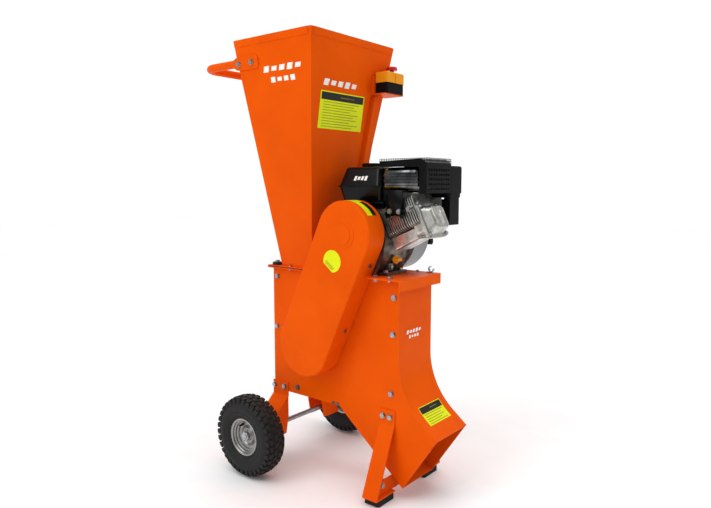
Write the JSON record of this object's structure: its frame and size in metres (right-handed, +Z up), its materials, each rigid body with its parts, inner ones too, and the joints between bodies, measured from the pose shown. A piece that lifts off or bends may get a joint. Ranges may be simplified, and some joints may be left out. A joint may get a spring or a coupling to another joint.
{
  "type": "wood chipper",
  "caption": "Petrol garden wood chipper with feed hopper, belt-driven cutting rotor, curved discharge chute, wheels and front legs.",
  "frame": {"origin": "on the floor, under the centre of the overall bounding box", "axes": "+X towards the discharge chute, +Y to the left seen from the handle, +Z up"},
  "size_m": [0.8623, 0.55, 1.357],
  "materials": {
    "orange_paint": "semi-gloss powder coat",
    "zinc": "bright zinc plate",
    "black_rubber": "matt",
    "tyre_rubber": "matt moulded",
    "rim_paint": "silver paint",
    "cast_aluminium": "as cast, slightly rough",
    "dark_casting": "grey painted casting",
    "gloss_black": "gloss black paint",
    "black_plastic": "fine texture",
    "steel": "machined steel",
    "switch_yellow": "moulded",
    "button_red": "moulded",
    "dipstick_yellow": "moulded",
    "belt_rubber": "fabric-faced rubber",
    "muffler_steel": "heat darkened steel",
    "grey_cover": "grey paint"
  },
  "bodies": {
    "chassis": {"air_cleaner_base": "black_plastic", "air_cleaner_cover": "black_plastic", "anvil_bar": "steel", "axle": "zinc", "belt_cover": "orange_paint", "belt_guard_back": "gloss_black", "cable_duct": "orange_paint", "carburettor": "cast_aluminium", "case_bottom_sheet": "orange_paint", "case_left_plate": "orange_paint", "case_right_plate": "orange_paint", "case_roof_plate": "orange_paint", "chute_front_sheet": "orange_paint", "chute_side_plates": "orange_paint", "control_panel": "black_plastic", "crankcase": "dark_casting", "crankcase_cover": "dark_casting", "cylinder_block": "cast_aluminium", "cylinder_head": "cast_aluminium", "drive_belts": "belt_rubber", "engine_bolts": "zinc", "engine_brackets": "gloss_black", "engine_platform": "orange_paint", "fan_housing": "grey_cover", "foot_crossbar": "orange_paint", "frame_fasteners": "zinc", "front_legs": "orange_paint", "fuel_tank": "gloss_black", "handle_bar": "orange_paint", "hopper": "orange_paint", "hopper_gasket": "black_rubber", "muffler": "muffler_steel", "muffler_guard": "gloss_black", "piston": "steel", "rear_legs": "orange_paint", "recoil_cover": "grey_cover", "rotor_bearings": "dark_casting", "rubber_feet": "black_rubber", "spark_plug": "steel", "switch_base": "black_plastic", "switch_bracket": "orange_paint", "switch_cover": "switch_yellow", "valve_cover": "cast_aluminium"},
    "engine_shaft": {"crankshaft": "steel", "flywheel_fan": "dark_casting", "engine_pulley": "dark_casting"},
    "rotor": {"rotor_drum": "orange_paint", "chipping_knives": "steel", "rotor_pulley": "dark_casting"},
    "left_wheel": {"wheel_rim_left": "rim_paint", "tyre_left": "tyre_rubber"},
    "right_wheel": {"wheel_rim_right": "rim_paint", "tyre_right": "tyre_rubber"},
    "stop_button": {"stop_button": "button_red"},
    "fuel_cap": {"fuel_cap": "black_plastic"},
    "oil_dipstick": {"oil_dipstick": "dipstick_yellow"},
    "throttle_lever": {"throttle_lever": "black_plastic"},
    "choke_lever": {"choke_lever": "black_plastic"},
    "engine_switch": {"engine_switch_knob": "black_plastic"},
    "starter_grip": {"starter_grip": "black_plastic"}
  },
  "joints": [
    {"name": "rotor_spin", "type": "hinge", "parent": "chassis", "child": "rotor", "pos_m": [-0.008, 0, 0.424], "axis": [0, 1, 0], "continuous": true},
    {"name": "crank_spin", "type": "hinge", "parent": "chassis", "child": "engine_shaft", "pos_m": [0.152, 0, 0.765], "axis": [0, 1, 0], "continuous": true},
    {"name": "left_wheel_spin", "type": "hinge", "parent": "chassis", "child": "left_wheel", "pos_m": [-0.159, 0.238, 0.13], "axis": [0, 1, 0], "continuous": true},
    {"name": "right_wheel_spin", "type": "hinge", "parent": "chassis", "child": "right_wheel", "pos_m": [-0.159, -0.238, 0.13], "axis": [0, 1, 0], "continuous": true},
    {"name": "stop_press", "type": "slide", "parent": "chassis", "child": "stop_button", "axis": [0, 0, -1], "range_m": [0, 0.005], "stiffness_N_per_m": 800, "springref_m": -0.001},
    {"name": "fuel_cap_turn", "type": "hinge", "parent": "chassis", "child": "fuel_cap", "pos_m": [0.115, 0.034, 0.97], "axis": [0, 0, 1], "range_deg": [0, 90]},
    {"name": "dipstick_turn", "type": "hinge", "parent": "chassis", "child": "oil_dipstick", "pos_m": [0.24, -0.026, 0.698], "axis": [1, 0, 0], "range_deg": [0, 1080]},
    {"name": "throttle_swing", "type": "hinge", "parent": "chassis", "child": "throttle_lever", "pos_m": [0.298, 0.145, 0.838], "axis": [0, 1, 0], "range_deg": [-40, 15]},
    {"name": "choke_swing", "type": "hinge", "parent": "chassis", "child": "choke_lever", "pos_m": [0.327, 0.145, 0.826], "axis": [0, 1, 0], "range_deg": [-50, 0]},
    {"name": "engine_switch_turn", "type": "hinge", "parent": "chassis", "child": "engine_switch", "pos_m": [0.09, 0.14, 0.829], "axis": [0, 1, 0], "range_deg": [0, 90]},
    {"name": "starter_pull", "type": "slide", "parent": "chassis", "child": "starter_grip", "axis": [1, 0, 0], "range_m": [0, 0.06], "stiffness_N_per_m": 60, "springref_m": -0.02}
  ],
  "couplings": [
    {"joint": "crank_spin", "follows": "rotor_spin", "ratio": 1.5455}
  ]
}
